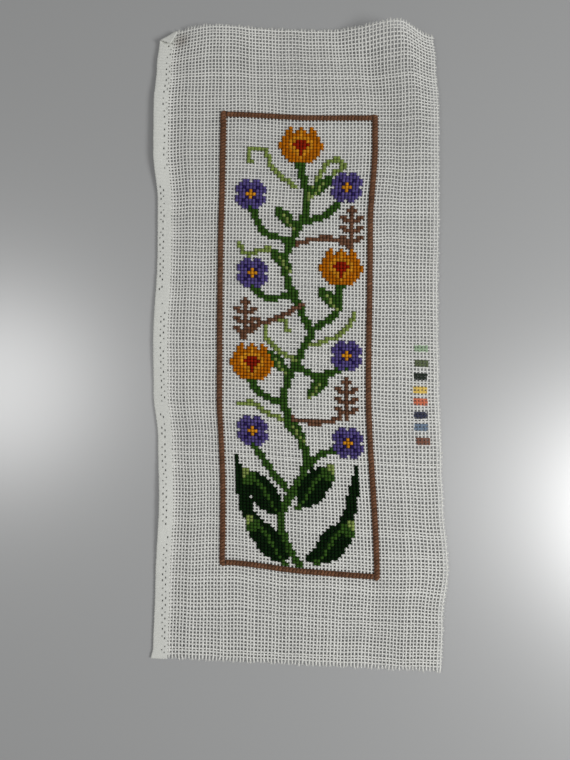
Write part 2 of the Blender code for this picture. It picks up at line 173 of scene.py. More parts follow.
def rowAt(rows, up):
    # a table's values at each height, eased between its rows
    up = np.clip(up, rows[0, 0], rows[-1, 0])
    low = np.clip(np.searchsorted(rows[:, 0], up, side="left") - 1, 0, len(rows) - 2)
    share = ease((up - rows[low, 0]) / (rows[low + 1, 0] - rows[low, 0]))
    return (rows[low] + (rows[low + 1] - rows[low]) * share[:, None]).T


def ridgeFlank(t):
    t = np.minimum(1.0, np.abs(t))
    crest, foot = ridge["crestRound"], ridge["footRound"]
    steepest = 1.0 / (1.0 - (crest + foot) / 2.0)
    top = 1.0 - steepest * t * t / (2.0 * crest)
    bottom = steepest * (1.0 - t) ** 2 / (2.0 * foot)
    return np.where(t < crest, top, np.where(t > 1.0 - foot, bottom, 1.0 - steepest * (t - crest / 2.0)))


def panelPull(across, up):
    # how far the stitching has pulled a point of the mesh: aside, and up the panel
    leftBand, rightBand = pull["leftBand"], pull["rightBand"]
    leftAside, leftRise = rowAt(pull["left"], up)[1:]
    rightAside, rightRise = rowAt(pull["right"], up)[1:]
    share = np.clip((across - leftBand) / (rightBand - leftBand), 0.0, 1.0)
    aside = leftAside + (rightAside - leftAside) * share
    aside = aside * ease(across / leftBand) * ease((cloth["width"] - across) / (cloth["width"] - rightBand))
    rise = leftRise * ease(1 - np.abs(across - leftBand - pull["riseInset"]) / pull["riseReach"])
    rise = rise + rightRise * ease(1 - np.abs(across - rightBand) / pull["riseReach"])
    return aside, rise


def insidePanel(across, up):
    # 0 outside the border, 1 well inside it
    reach = np.minimum(across - pull["leftBand"], pull["rightBand"] - across)
    reach = np.minimum(reach, up - panel["bottom"] * rowPitch)
    reach = np.minimum(reach, panelTop * rowPitch - up)
    return ease(0.5 + reach / loft["edgeReach"])


def loftAt(across, up):
    # how far the mesh stands off the table
    height = loft["height"] + loft["moreAtRight"] * across / cloth["width"]
    height = height + loft["uneven"] * waveDrift(across, up, loft["size"], loft["waves"])
    height = height + loft["underPanel"] * insidePanel(across, up)
    besideBand = ease((across - cloth["selvedge"]) / loft["edgeReach"])
    fromCut = ease(np.minimum(cloth["width"] - across, up) / loft["edgeReach"])
    return np.maximum(0.0, height) * besideBand * (loft["atEdge"] + (1 - loft["atEdge"]) * fromCut)


def layFlat(across, up):
    # where a point lies before the corner is turned
    width, length = cloth["width"], cloth["length"]
    aside, rise = panelPull(across, up)
    leftDraw, leftLift = rowAt(edges["selvedgeRows"], up)[1:]
    rightDraw, rightLift = rowAt(edges["cutRows"], up)[1:]
    fall = rowAt(weftSlope, up)[1]
    crest, height, leftRun, rightRun = rowAt(ridge["rows"], up)[1:]
    fromRight = width - across
    fromTop = length - up
    x = across + aside + leftDraw * ease(1 - across / edges["selvedgeDraw"])
    x -= rightDraw * ease(1 - fromRight / edges["cutDraw"])
    y = up + rise - fall * across
    nearCorner = ease(1 - fromRight / ridge["sagWidth"]) * ease(1 - fromTop / ridge["sagLength"])
    y -= ridge["cornerSag"] * nearCorner
    y -= earSag["fall"] * ease(1 - across / earSag["width"]) * ease(1 - fromTop / earSag["length"])
    fromCrest = across - crest
    ridgeUp = height * ridgeFlank(fromCrest / np.where(fromCrest > 0, rightRun, leftRun))
    fromHump = across - hump["centre"]
    run = np.where(fromHump > 0, hump["rightRun"], hump["leftRun"])
    humpUp = hump["height"] * (1 - ease(np.abs(fromHump) / run)) * ease(1 - fromTop / hump["length"])
    lift = leftLift * ease(1 - across / edges["selvedgeLift"])
    lift = lift + rightLift * ease(1 - fromRight / edges["cutLift"])
    return np.stack([x, y, np.maximum(ridgeUp, humpUp) + lift + loftAt(across, up)], axis=1)


def layCloth(across, up):
    # where the middle of the cloth's thickness lies, with the corner turned
    past = across * earAcross + (up - cloth["length"] + ear["upSelvedge"]) * earUp
    past = np.maximum(0.0, past)
    radius = ear["foldRadius"]
    bent = np.minimum(past, radius * ear["turn"])
    turn = bent / radius
    reach = radius * np.sin(turn) + (past - bent) * np.cos(turn)
    rise = radius * (1.0 - np.cos(turn)) + (past - bent) * np.sin(turn)
    points = layFlat(across + earAcross * (reach - past), up + earUp * (reach - past))
    points[:, 2] += cloth["thickness"] / 2.0 + rise
    return points


def layRaised(across, up, raised):
    # a point of the cloth, moved off its middle along its own normal
    step = 0.0003
    alongX = layCloth(across + step, up) - layCloth(across - step, up)
    alongY = layCloth(across, up + step) - layCloth(across, up - step)
    normal = np.cross(alongX, alongY)
    normal /= np.linalg.norm(normal, axis=1, keepdims=True)
    return layCloth(across, up) + normal * raised[:, None] + shift


def borderHoles():
    # the holes that the border's solid covers, laid
    border, inset = panel["border"], panel["clear"] / 2
    columns = np.arange(panel["left"] - border, panelRight + border + 1)
    rows = np.arange(panel["bottom"] - border, panelTop + border + 1)
    flat = fromHoles(*(grid.ravel() for grid in np.meshgrid(columns, rows)))
    return layFlat(*(np.clip(values, values.min() + inset, values.max() - inset) for values in flat))


# The part stands centred on the origin, so the same shift is read from where the border's solid is
borderLow, borderHigh = (np.array(corner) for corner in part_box("border_stitching"))
borderPoints = borderHoles()
shift = (borderLow + borderHigh - borderPoints.min(axis=0) - borderPoints.max(axis=0)) / 2
shift[2] = borderLow[2] - cloth["thickness"] - panel["clear"]
print("cloth shape ready, shifted by", shift.round(5).tolist())


# How the strands share a piece's bake map: each has one narrow upright cell
bakeCell = {"length": 0.0045, "sideGap": 0.06, "endGap": 0.03}


def tubes(across, up, raised, halfWide, halfThick, tone, sides=6, ends=True):
    # tubes along paths on the cloth; each array is (strands, rings), and tone one value a strand or a ring
    strands, rings = across.shape
    path = np.stack([across, up])
    go = np.gradient(path, axis=2)
    aside = np.stack([go[1], -go[0]]) / np.hypot(*go)
    angle = 2 * math.pi * np.arange(sides) / sides
    flat = path[..., None] + aside[..., None] * (halfWide[..., None] * np.cos(angle))
    flat = flat.reshape(2, -1)
    height = (raised[..., None] + halfThick[..., None] * np.sin(angle)).ravel()
    steps = np.hypot(*np.diff(path, axis=2))
    distance = np.concatenate([np.zeros((strands, 1)), np.cumsum(steps, axis=1)], axis=1)

    # the side quads, then two or one to close each end
    ring = np.arange(rings - 1)[:, None]
    side = np.arange(sides)[None, :]
    after = (side + 1) % sides
    here, there = ring * sides, (ring + 1) * sides
    quads = np.stack([here + side, there + side, there + after, here + after], axis=-1).reshape(-1, 4)
    around = np.stack([side, side, side + 1, side + 1], axis=-1) / sides
    around = np.broadcast_to(around, (rings - 1, sides, 4)).reshape(-1, 4)
    if ends:
        cap = np.array([(0, 1, 2, 3), (0, 3, 4, 5)] if sides == 6 else [(0, 1, 2, 3)])
        last = (rings - 1) * sides
        quads = np.concatenate([quads, cap, last + cap[:, ::-1]])
        around = np.concatenate([around, cap / sides, cap[:, ::-1] / sides])
    start = np.arange(strands)[:, None, None] * rings * sides
    along = distance[:, quads // sides]
    around = np.broadcast_to(around, along.shape)

    total = distance[:, -1:, None]
    shape = max(1.0, float(distance[:, -1].mean()) / bakeCell["length"])
    cellsWide = math.ceil(math.sqrt(strands * shape))
    cellsHigh = math.ceil(strands / cellsWide)
    cell = np.arange(strands)[:, None, None]
    sideGap, endGap = bakeCell["sideGap"], bakeCell["endGap"]
    bakeU = (cell % cellsWide + sideGap + (1 - 2 * sideGap) * around) / cellsWide
    bakeV = (cell // cellsWide + endGap + (1 - 2 * endGap) * along / total) / cellsHigh
    points = layRaised(*flat, height)
    points[:, 2] = np.maximum(points[:, 2], tableTop)
    tone = np.broadcast_to(tone.reshape(strands, -1), (strands, rings))
    return {
        "points": points,
        "quads": (start + quads[None]).reshape(-1, 4),
        "bake": np.stack([bakeU, bakeV], axis=-1).reshape(-1, 2),
        "thread": np.stack([around, along * 1000.0], axis=-1).reshape(-1, 2),
        "flat": flat.T,
        "tone": np.repeat(tone.ravel(), sides),
    }


def joined(parts):
    # parts side by side in one mesh, each with its own share of the bake map
    placed, offset = [], 0
    lefts = np.cumsum([0.0] + [len(part["quads"]) for part in parts])
    lefts /= lefts[-1]
    for part, left, right in zip(parts, lefts, lefts[1:]):
        bake = part["bake"] * [right - left, 1.0] + [left, 0.0]
        placed.append({**part, "quads": part["quads"] + offset, "bake": bake})
        offset += len(part["points"])
    return {key: np.concatenate([part[key] for part in placed]) for key in placed[0]}


def addObject(name, data):
    item = bpy.data.objects.new(name, data)
    bpy.context.scene.collection.objects.link(item)
    return item


def makePiece(name, shape, material, nodes, inkAndShadow=None):
    data = bpy.data.meshes.new(name)
    count = len(shape["quads"])
    data.vertices.add(len(shape["points"]))
    data.vertices.foreach_set("co", shape["points"].astype(np.float32).ravel())
    data.loops.add(count * 4)
    data.loops.foreach_set("vertex_index", shape["quads"].astype(np.int32).ravel())
    data.polygons.add(count)
    data.polygons.foreach_set("loop_start", np.arange(0, count * 4, 4, dtype=np.int32))
    data.polygons.foreach_set("use_smooth", np.ones(count, bool))
    for layerName, key in (("OFBake", "bake"), ("thread", "thread")):
        layer = data.uv_layers.new(name=layerName)
        layer.data.foreach_set("uv", shape[key].astype(np.float32).ravel())
    data.attributes.new("tone", "FLOAT", "POINT").data.foreach_set("value", shape["tone"].astype(np.float32))
    # printed ink and painted shadow, as one colour layer
    if inkAndShadow is not None:
        layer = data.attributes.new("inkAndShadow", "FLOAT_COLOR", "POINT")
        layer.data.foreach_set("color", inkAndShadow.astype(np.float32).ravel())
    data.update()
    data.materials.append(material)
    piece = addObject(name, data)
    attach(piece, "root")
    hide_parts(*nodes)
    print(name, count, "quads")
    return piece


def linear(*shade):
    # a colour as the eye reads it, 0 to 255, as linear light
    return tuple((c / 255 / 12.92) if c < 10.3 else ((c / 255 + 0.055) / 1.055) ** 2.4 for c in shade)


def feed(tree, node, values):
    # each input takes a link from a socket, or a plain value
    for label, value in values.items():
        if isinstance(value, bpy.types.NodeSocket):
            tree.links.new(value, node.inputs[label])
        else:
            node.inputs[label].default_value = value


def newGroup(name, inputs, outputs):
    # inputs are given with their values, outputs with their kinds
    group = bpy.data.node_groups.new(name, "ShaderNodeTree")
    for label, value in inputs.items():
        kind = "NodeSocketColor" if isinstance(value, tuple) else "NodeSocketFloat"
        group.interface.new_socket(name=label, in_out="INPUT", socket_type=kind).default_value = value
    for label, kind in outputs.items():
        group.interface.new_socket(name=label, in_out="OUTPUT", socket_type="NodeSocket" + kind)
    return group, group.nodes.new("NodeGroupInput").outputs, group.nodes.new("NodeGroupOutput")


def mathNode(tree, operation, *values, clamp=False):
    node = tree.nodes.new("ShaderNodeMath")
    node.operation = operation
    node.use_clamp = clamp
    feed(tree, node, dict(enumerate(values)))
    return node.outputs[0]


def noiseNode(tree, scale, detail=3.0):
    place = tree.nodes.new("ShaderNodeTexCoord").outputs["Object"]
    node = tree.nodes.new("ShaderNodeTexNoise")
    feed(tree, node, {"Detail": detail, "Vector": place, "Scale": scale})
    return node.outputs["Fac"]


def attributeNode(tree, name):
    node = tree.nodes.new("ShaderNodeAttribute")
    node.attribute_name = name
    return node.outputs


def makeTwistGroup():
    # the plies of a twisted thread: a height for its bump, and a mask of the creases between plies, where
    # shade is painted
    fuzzScale, creaseSharpness = 5200.0, 0.45
    inputs = {"Plies": 2.0, "Turns per mm": 0.3, "Fuzz": 0.3}
    group, given, made = newGroup("threadTwist", inputs, {"Height": "Float", "Crease": "Float"})
    threadMap = group.nodes.new("ShaderNodeUVMap")
    threadMap.uv_map = "thread"
    split = group.nodes.new("ShaderNodeSeparateXYZ")
    feed(group, split, {"Vector": threadMap.outputs["UV"]})
    around = mathNode(group, "MULTIPLY", split.outputs["X"], given["Plies"])
    along = mathNode(group, "MULTIPLY", split.outputs["Y"], given["Turns per mm"])
    angle = mathNode(group, "MULTIPLY", mathNode(group, "ADD", around, along), math.pi)
    ply = mathNode(group, "ABSOLUTE", mathNode(group, "SINE", angle))
    fuzz = mathNode(group, "MULTIPLY", noiseNode(group, fuzzScale, 4.0), given["Fuzz"])
    crown = mathNode(group, "POWER", ply, creaseSharpness)
    feed(group, made, {
        "Height": mathNode(group, "ADD", ply, fuzz),
        "Crease": mathNode(group, "SUBTRACT", 1.0, crown, clamp=True),
    })
    return group


def makeDriftGroup():
    # a dyed or starched thread's colour: it drifts over the cloth and from stitch to stitch, with painted
    # shade at leg ends, around needle marks and in its creases
    darkest = 0.05
    group, given, made = newGroup("toneDrift", {
        "Colour": (0.5, 0.5, 0.5, 1.0), "Drift": 0.1, "Drift scale": 60.0,
        "Stitch tone and shade": 0.1, "Crease": 0.0, "Crease shade depth": 0.3,
    }, {"Colour": "Color"})
    wander = mathNode(group, "SUBTRACT", noiseNode(group, given["Drift scale"], 4.0), 0.5)
    wander = mathNode(group, "MULTIPLY", wander, given["Drift"])
    # the tone layer: random tone for each stitch or thread, plus painted shade at leg ends and needle marks
    tone = mathNode(group, "MULTIPLY", attributeNode(group, "tone")["Fac"], given["Stitch tone and shade"])
    # painted shade in the creases between plies
    creaseShade = mathNode(group, "MULTIPLY", given["Crease"], given["Crease shade depth"])
    level = mathNode(group, "ADD", mathNode(group, "ADD", wander, tone), 1.0)
    level = mathNode(group, "MAXIMUM", mathNode(group, "SUBTRACT", level, creaseShade), darkest)
    scaled = group.nodes.new("ShaderNodeVectorMath")
    scaled.operation = "SCALE"
    feed(group, scaled, {"Vector": given["Colour"], "Scale": level})
    feed(group, made, {"Colour": scaled.outputs["Vector"]})
    return group


twistGroup = makeTwistGroup()
driftGroup = makeDriftGroup()


def placeGroup(tree, group, values):
    node = tree.nodes.new("ShaderNodeGroup")
    node.node_tree = group
    feed(tree, node, values)
    return node.outputs


def newMaterial(name):
    material = bpy.data.materials.new(name)
    material.use_nodes = True
    return material, material.node_tree, material.node_tree.nodes["Principled BSDF"]


def inkAndShadowColour(tree, colour):
    # printed ink and the painted shadow beside the turned corner, over a thread's own colour, a little
    # patchy
    inkAndShadowLayer = attributeNode(tree, "inkAndShadow")
    patches = mathNode(tree, "MULTIPLY", noiseNode(tree, inkKey["patchScale"]), inkKey["patchDepth"])
    patches = mathNode(tree, "ADD", patches, inkKey["patchLeast"], clamp=True)
    mix = tree.nodes.new("ShaderNodeMix")
    mix.data_type = "RGBA"
    feed(tree, mix, {
        "Factor": mathNode(tree, "MULTIPLY", inkAndShadowLayer["Alpha"], patches), "A": colour, "B": inkAndShadowLayer["Color"],
    })
    return mix.outputs["Result"]


def makeThreadMaterial(name, look):
    material, tree, shader = newMaterial(name)
    twist = placeGroup(tree, twistGroup, {
        "Plies": look["plies"], "Turns per mm": look["turns"], "Fuzz": look["fuzz"],
    })
    colour = placeGroup(tree, driftGroup, {
        "Colour": (*look["colour"], 1.0), "Drift": look["drift"], "Drift scale": look["driftScale"],
        "Stitch tone and shade": look["stitchToneAndShade"], "Crease": twist["Crease"], "Crease shade depth": look["creaseShadeDepth"],
    })["Colour"]
    bump = tree.nodes.new("ShaderNodeBump")
    feed(tree, bump, {
        "Strength": look["bump"], "Distance": look["bumpDepth"], "Height": twist["Height"],
    })
    feed(tree, shader, {
        "Base Color": inkAndShadowColour(tree, colour) if look.get("inkAndShadow") else colour,
        "Roughness": look["roughness"], "Sheen Weight": look["sheen"],
        "Specular IOR Level": look["gloss"], "Normal": bump.outputs["Normal"],
    })
    return material


# The canvas threads: an even single-thread mesh in plain weave, each thread a little uneven
mesh = {
    "halfWide": 0.00059,
    "halfThick": 0.00035,
    "wave": 0.00027,
    "widthUneven": 0.1,
    # threads change width along their run: by how much, over two lengths
    "patchy": 0.05,
    "patchSizes": (0.012, 0.06),
    # warps drift across and wefts drift up, over these lengths, and wefts less inside the border
    "driftAcross": 0.00017,
    "acrossSize": 0.045,
    "driftUp": 0.0004,
    "upSize": 0.034,
    "driftInPanel": 0.5,
    "looseWarp": 0.00009,
    "looseWeft": 0.00014,
    "weftStart": 0.009,
    "endBeyond": 0.00055,
    # closer rings over the turned corner's fold, and none nearer to an end than a share of the pitch
    "foldReach": 0.0055,
    "foldRings": 12,
    "endClear": 0.3,
    # the mesh closes up beside the selvedge: how much wider the warps and wefts are, and how far
    "warpsCloser": 0.25,
    "weftsCloser": 1.0,
    "closerReach": 0.0026,
    "firstShift": 0.0003,
    # the threads are a little finer toward the top: share, start, run
    "finer": (0.14, 0.16, 0.24),
    # rows of weft that have come away at the bottom and at the top, and left a fringe
    "bareBottom": 1,
    "bareTop": 1,
    # how far the warps run on below the last weft before they open
    "bareRun": 0.0014,
    "colour": linear(220, 220, 215),
}
# Where the warps stop at the bottom and at the top, and the wefts at the cut side; the wefts still there
firstRow = (mesh["bareBottom"] + 0.5) * rowPitch - mesh["endBeyond"] - mesh["bareRun"]
lastRow = (cloth["rows"] - mesh["bareTop"] - 0.5) * rowPitch + mesh["endBeyond"]
lastColumn = fromHoles(cloth["columns"] - 0.5, 0)[0] + mesh["endBeyond"]
keptRows = range(mesh["bareBottom"], cloth["rows"] - mesh["bareTop"])

# The ink key in the right margin: each block's middle row, its first column and its ink
inkKey = {
    "columns": 3.9,
    "rows": 2.05,
    "strength": 1.0,
    "swell": 0.38,
    "edge": 0.1,
    "patchScale": 1500.0,
    "patchDepth": 0.3,
    "patchLeast": 0.84,
    "blocks": (
        (95.5, 72.85, linear(150, 174, 142)), (91.0, 73.0, linear(82, 93, 60)),
        (87.0, 72.7, linear(12, 28, 10)), (83.0, 72.55, linear(218, 186, 90)),
        (79.5, 72.55, linear(198, 106, 74)), (75.5, 72.45, linear(38, 42, 66)),
        (72.0, 72.4, linear(104, 122, 142)), (67.9, 72.85, linear(118, 76, 58)),
    ),
}
# Painted shadow on the mesh beside the turned corner, where the raised corner shades it
cornerShadow = {"place": (0.0172, 0.467), "reach": 0.0085, "strength": 0.55, "colour": linear(118, 104, 92)}


def inkSpans(middle, firstColumn):
    # the columns and the rows that a block covers
    half = inkKey["rows"] / 2
    return (firstColumn, firstColumn + inkKey["columns"]), (middle - half, middle + half)


def within(value, span, margin):
    return (value > span[0] - margin) & (value < span[1] + margin)


def inkEdges(isWarp, index):
    # the rims of the blocks that a thread crosses: it needs rings there for the ink to stop short
    places, edge = [], inkKey["edge"]
    for middle, firstColumn, _ in inkKey["blocks"]:
        columns, rows = inkSpans(middle, firstColumn)
        beside, along = (columns, rows) if isWarp else (rows, columns)
        if within(index + 0.5, beside, edge):
            places += [along[0] - edge, *along, along[1] + edge]
    return np.array(places)


def inkAndShadowOn(flat):
    # each point's printed ink, and the painted shadow beside the turned corner
    inkAndShadow = np.zeros((len(flat), 4))
    inkAndShadow[:, :3] = mesh["colour"]
    column, row = (flat[:, 0] - cloth["selvedge"]) / columnPitch, flat[:, 1] / rowPitch
    for middle, firstColumn, colour in inkKey["blocks"]:
        columns, rows = inkSpans(middle, firstColumn)
        inside = within(column, columns, inkKey["edge"] / 2) & within(row, rows, inkKey["edge"] / 2)
        inkAndShadow[inside] = (*colour, inkKey["strength"])
    # the painted shadow beside the turned corner, laid into the ink layer
    away = np.linalg.norm(flat - cornerShadow["place"], axis=1) / cornerShadow["reach"]
    inCornerShadow = away < 1
    inkAndShadow[inCornerShadow, :3] = cornerShadow["colour"]
    inkAndShadow[inCornerShadow, 3] = cornerShadow["strength"] * ease(1 - away[inCornerShadow])
    return inkAndShadow


def ringPlaces(count, pitch, low, high, extra):
    # where a thread's rings go: each crossing, both ends, over the fold and at the ink's rims
    clear = mesh["endClear"] * pitch
    places = (np.arange(count) + 0.5) * pitch
    places = places[(places > low + clear) & (places < high - clear)]
    extra = extra[(extra > low) & (extra < high)]
    return np.unique(np.concatenate([[low], places, [high], extra]).round(7))


def canvasThreads(isWarp):
    # the threads of one direction, as one shape; a thread is one tube with open ends under its frayed tips
    count, crossed = (cloth["columns"], cloth["rows"]) if isWarp else (cloth["rows"], cloth["columns"])
    own, other = (columnPitch, rowPitch) if isWarp else (rowPitch, columnPitch)
    ownStart, otherStart = (cloth["selvedge"], 0.0) if isWarp else (0.0, cloth["selvedge"])
    low, high = (firstRow, lastRow) if isWarp else (mesh["weftStart"], lastColumn)
    kept = range(count) if isWarp else keptRows
    width = 1 + mesh["widthUneven"] * draw.standard_normal(count)
    loose = mesh["looseWarp" if isWarp else "looseWeft"] * draw.standard_normal(count)
    middles = ownStart + (np.arange(count) + 0.5) * own + loose
    fold = np.linspace(-mesh["foldReach"], mesh["foldReach"], mesh["foldRings"]) - otherStart
    strands = []
    for index in kept:
        if isWarp:
            creaseAt = cloth["length"] - ear["upSelvedge"] - middles[index] * earAcross / earUp
        else:
            creaseAt = (cloth["length"] - ear["upSelvedge"] - middles[index]) * earUp / earAcross
        extra = np.concatenate([creaseAt + fold, inkEdges(isWarp, index) * other])
        strands.append(otherStart + ringPlaces(crossed, other, low - otherStart, high - otherStart, extra))
    rings = [len(places) for places in strands]
    number, places = np.repeat(kept, rings), np.concatenate(strands)
    across, up = (middles[number], places) if isWarp else (places, middles[number])
    if isWarp:
        across = across + mesh["driftAcross"] * softNoise(across, up, mesh["acrossSize"])
    else:
        held = 1 - (1 - mesh["driftInPanel"]) * insidePanel(across, up)
        up = up + mesh["driftUp"] * held * softNoise(across, up, mesh["upSize"])
    uneven = 1 + mesh["patchy"] * sum(softNoise(across, up, size) for size in mesh["patchSizes"])
    beside = np.exp(-np.maximum(across - cloth["selvedge"], 0) / mesh["closerReach"])
    uneven += mesh["warpsCloser" if isWarp else "weftsCloser"] * beside
    uneven += inkKey["swell"] * (inkAndShadowOn(np.stack([across, up], axis=1))[:, 3] == inkKey["strength"])
    finest, finerFrom, finerRun = mesh["finer"]
    uneven -= finest * ease((up - finerFrom) / finerRun)
    across = across + (mesh["firstShift"] * beside if isWarp else 0.0)
    sign = np.where(number % 2 == 0, 1, -1) * (1 if isWarp else -1)
    raised = mesh["wave"] * sign * np.cos(math.pi * ((places - otherStart) / other - 0.5))
    halfWide = mesh["halfWide"] * width[number] * uneven
    halfThick = np.full_like(halfWide, mesh["halfThick"])
    paths = np.stack([across, up, raised, halfWide, halfThick])[:, None]
    paths = np.split(paths, np.cumsum(rings)[:-1], axis=2)
    return joined([tubes(*path, draw.standard_normal(1), ends=False) for path in paths])


cottonLook = {
    "colour": mesh["colour"], "roughness": 0.85, "sheen": 0.08, "gloss": 0.25, "plies": 3.0, "turns": 0.55,
    "fuzz": 0.35, "drift": 0.1, "driftScale": 55.0, "stitchToneAndShade": 0.02, "creaseShadeDepth": 0.12,
    "bump": 0.5, "bumpDepth": 0.00012, "inkAndShadow": True,
}
cottonMaterial = makeThreadMaterial("starchedCotton", cottonLook)
warpShape, weftShape = canvasThreads(isWarp=True), canvasThreads(isWarp=False)
# each thread's printed ink and painted shadow
warpInkAndShadow, weftInkAndShadow = inkAndShadowOn(warpShape["flat"]), inkAndShadowOn(weftShape["flat"])
canvasWarp = makePiece("canvasWarp", warpShape, cottonMaterial, ["canvas"], warpInkAndShadow)
canvasWeft = makePiece("canvasWeft", weftShape, cottonMaterial, ["canvas"], weftInkAndShadow)

# The cut ends: each thread opens into a few short plies past the last crossing
fray = {
    "plies": 3,
    "rings": np.array([0.0, 0.4, 0.75, 1.0]),
    "inside": 0.0011,
    "topReach": (0.0014, 0.0026),
    "bottomReach": (0.0014, 0.0027),
    "sideReach": (0.0005, 0.0015),
    "bandReach": (0.0003, 0.0011),
    "bandPitch": 0.0009,
    # a ply's length as a share of the reach
    "lengths": (0.75, 1.1),
    # plies stand apart by this, times a start and a growth toward the tip
    "splay": 0.00034,
    "opening": (0.55, 0.9),
    "lean": 0.0003,
    "stray": 0.00012,
    "lift": 0.00005,
    "halfWide": 0.00032,
    "thick": 0.85,
    "tipShare": 0.5,
}


def frayedEnds():
    ends = []  # across, up, heading across, heading up, reach
    for column in range(cloth["columns"]):
        place = fromHoles(column + 0.5, 0)[0]
        ends.append((place, lastRow, 0, 1, draw.uniform(*fray["topReach"])))
        ends.append((place, firstRow, 0, -1, draw.uniform(*fray["bottomReach"])))
    for row in keptRows:
        ends.append((lastColumn, (row + 0.5) * rowPitch, 1, 0, draw.uniform(*fray["sideReach"])))
    for place in np.arange(fray["bandPitch"], cloth["selvedge"], fray["bandPitch"]):
        ends.append((place, 0.0, 0, -1, draw.uniform(*fray["bandReach"])))
    plies, share = [], fray["rings"]
    opening = fray["opening"][0] + fray["opening"][1] * share
    halfWide = fray["halfWide"] * (1 - (1 - fray["tipShare"]) * share)
    for *root, goAcross, goUp, reach in ends:
        lean = draw.normal(0, fray["lean"])
        for ply in range(fray["plies"]):
            aside = fray["splay"] * (ply - 1) * opening + lean * share ** 2
            aside = aside + draw.normal(0, fray["stray"]) * share
            long = -fray["inside"] + (reach + fray["inside"]) * draw.uniform(*fray["lengths"]) * share
            raised = draw.normal(0, fray["stray"]) * share + fray["lift"]
            across = root[0] + goAcross * long + goUp * aside
            up = root[1] + goUp * long + goAcross * aside
            plies.append((across, up, raised, halfWide, halfWide * fray["thick"]))
    return tubes(*np.array(plies).swapaxes(0, 1), draw.standard_normal(len(plies)), sides=4)


cutEnds = makePiece("cutEnds", frayedEnds(), makeThreadMaterial("frayedCotton", {
    **cottonLook, "plies": 1.0, "turns": 0.2, "bump": 0.3, "colour": linear(220, 220, 214), "inkAndShadow": False,
}), ["canvas"])

# The selvedge: a close-woven band with the weft's ribs and a wandering line of needle marks
band = {
    "cellsAcross": 28,
    "cellsPerRow": 4,
    "halfThick": 0.00052,
    # it thins toward the outer rim: by what share, over what run
    "edgeThin": 0.55,
    "edgeRun": 0.0004,
    "rib": 0.00008,
    "cord": 0.00005,
    "uneven": 0.00004,
    "unevenSize": 0.009,
    "scallop": 0.00012,
    "wander": 0.00006,
    "innerWander": 0.00016,
    "wanderSize": 0.006,
    # the lower outer corner is drawn out to the side: how far, and over what length
    "tip": 0.0013,
    "tipReach": 0.0065,
    "beyond": 0.0005,
    "colour": linear(212, 213, 207),
    "innerEdge": 0.0001,
    # up, across, share missed: where the first of two columns of needle marks runs
    "gapLine": np.array([
        (0, 0.0064, 0.03), (0.062, 0.0054, 0.03), (0.086, 0.0053, 0.1), (0.0915, 0.0045, 0.95),
        (0.098, 0.0034, 0.05), (0.119, 0.0033, 0.03), (0.157, 0.0031, 0.03), (0.1765, 0.0036, 0.08),
        (0.182, 0.005, 0.95), (0.188, 0.0061, 0.1), (0.2325, 0.0054, 0.03), (0.2545, 0.0054, 0.1),
        (0.258, 0.0052, 0.9), (0.263, 0.0054, 0.3), (0.269, 0.004, 0.9), (0.275, 0.0024, 0.15),
        (0.308, 0.0022, 0.08), (0.353, 0.0026, 0.08), (0.357, 0.0045, 1), (0.362, 0.0072, 0.8),
        (0.367, 0.0075, 0.15), (0.399, 0.0083, 0.05), (0.4206, 0.0067, 0.05), (0.436, 0.0073, 0.08),
        (0.46, 0.0071, 0.15), (0.478, 0.007, 1),
    ]),
    "gapRows": 2,
    "secondColumn": 0.0022,
    "markCells": 2,
    "markTall": (1, 3),
    # the marks stray up by a share of a row, and across by a length
    "strayUp": 0.14,
    "strayAcross": 0.00014,
    # cells that stay closed at both ends of the band
    "clearCells": 3,
    # painted shade on the cotton around a mark, in steps of its tone scale
    "markShade": -14.0,
    # the bake map: where the upper face starts and how wide it is, and where the walls are
    "bakeFace": (0.02, 0.42),
    "bakeWall": 0.47,
    # the width in mm that counts as one turn of the thread's twist
    "twistWide": 0.75,
}


def bandGaps(cellsUp, cellTall, cellWide):
    # two staggered columns of needle marks, with stretches where they are missing
    isOpen = np.zeros((cellsUp, band["cellsAcross"]), bool)
    wide, clear = band["markCells"], band["clearCells"]
    for row in range(cloth["rows"]):
        middle = (row + 0.5 + draw.uniform(-band["strayUp"], band["strayUp"])) * rowPitch
        _, line, missed = rowAt(band["gapLine"], np.array([middle]))[:, 0]
        line += (row % band["gapRows"]) * band["secondColumn"] + draw.normal(0, band["strayAcross"])
        column = round(line / cellWide) - wide // 2
        cell = int((middle + band["beyond"]) / cellTall)
        tall = draw.integers(*band["markTall"])
        isMarked = draw.random() > missed and column < band["cellsAcross"] - wide
        if isMarked and clear <= cell < cellsUp - clear - 1:
            isOpen[cell:cell + tall, column:column + wide] = True
    return isOpen


def bandFaces(isOpen):
    # each closed cell has a face above and one below, and a wall toward every gap and every rim
    corner = np.arange((isOpen.shape[0] + 1) * (isOpen.shape[1] + 1)).reshape(isOpen.shape[0] + 1, -1)
    a, b, c, d = corner[:-1, :-1], corner[:-1, 1:], corner[1:, 1:], corner[1:, :-1]
    faces = [(a, b, c, d), tuple(place + corner.size for place in (d, c, b, a))]
    for first, second in ((a, b), (b, c), (c, d), (d, a)):
        faces.append((first + corner.size, second + corner.size, second, first))
    around = np.pad(isOpen, 1, constant_values=True)
    beside = around[:-2, 1:-1], around[1:-1, 2:], around[2:, 1:-1], around[1:-1, :-2]
    built = np.stack([~isOpen, ~isOpen, *(side & ~isOpen for side in beside)], axis=-1)
    quads = np.stack([np.stack(face, axis=-1) for face in faces], axis=2)[built]
    return quads, np.nonzero(built)[2][:, None] > 1


